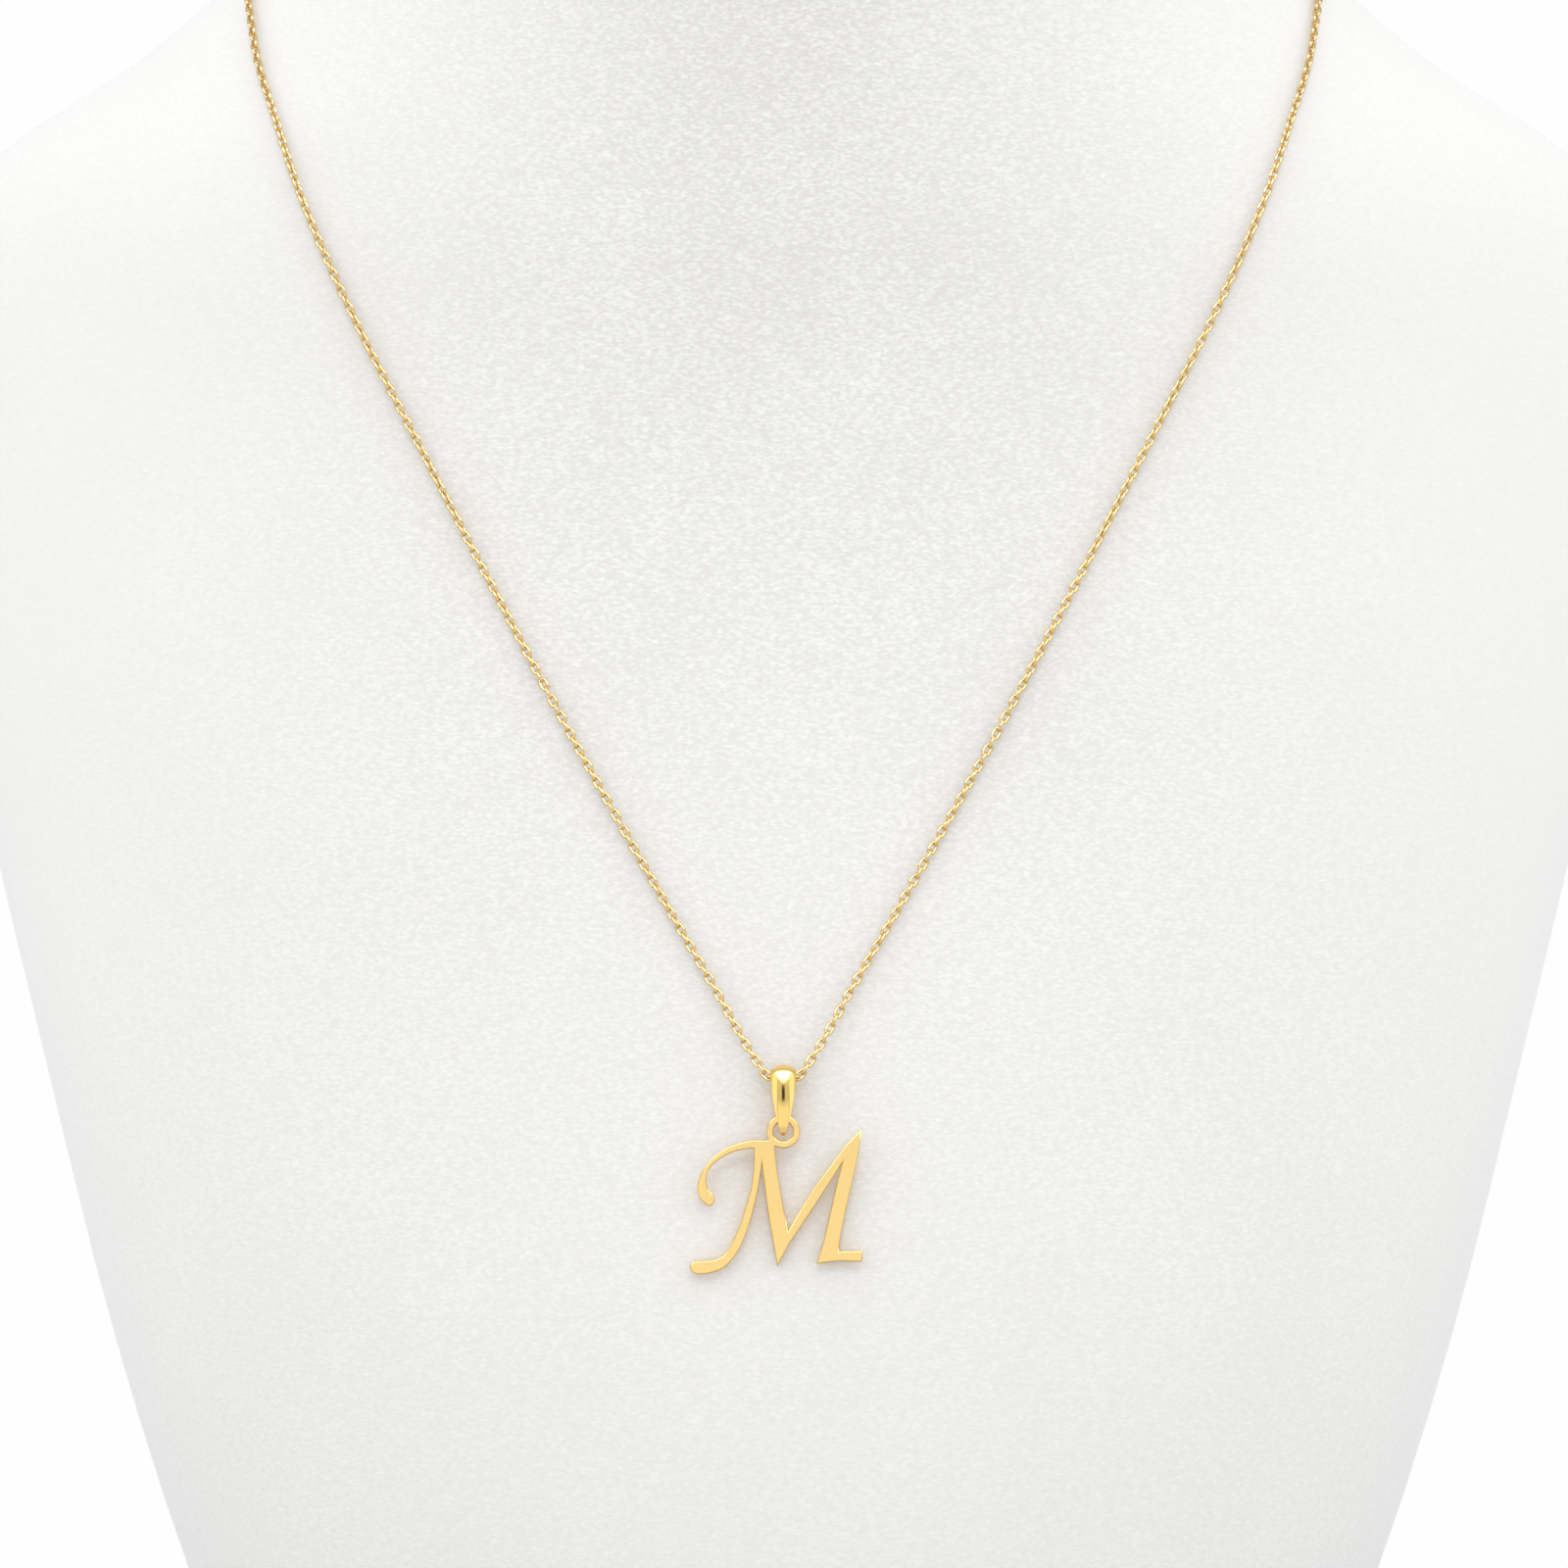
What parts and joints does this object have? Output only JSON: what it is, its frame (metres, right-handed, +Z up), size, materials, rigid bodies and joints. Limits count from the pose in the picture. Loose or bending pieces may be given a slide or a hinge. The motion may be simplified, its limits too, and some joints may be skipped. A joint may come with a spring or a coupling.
{
  "type": "initial pendant necklace on a neck bust",
  "caption": "Script letter pendant with a ring and a tapered bail on a fine cable chain, laid round a plain leatherette neck bust.",
  "frame": {"origin": "middle of the bust's flat base", "axes": "+Z up, the chest and the pendant face -Y, +X to the viewer's right when the chest is seen from the front"},
  "size_m": [0.1812, 0.1084, 0.256],
  "materials": {
    "leatherette": "white pebbled leatherette, matt",
    "gold": "polished yellow gold"
  },
  "bodies": {
    "stand": {"bust": "leatherette", "chain": "gold", "clasp": "gold"},
    "bail": {"bail": "gold"},
    "letter": {"letter": "gold"}
  },
  "joints": [
    {"name": "bail_swing", "type": "hinge", "parent": "stand", "child": "bail", "pos_m": [0, -0.04963, 0.09221], "axis": [-1, 0, 0], "range_deg": [0, 90]},
    {"name": "letter_swing", "type": "hinge", "parent": "bail", "child": "letter", "pos_m": [0, -0.05056, 0.08817], "axis": [-1, 0, 0], "range_deg": [0, 90]}
  ]
}
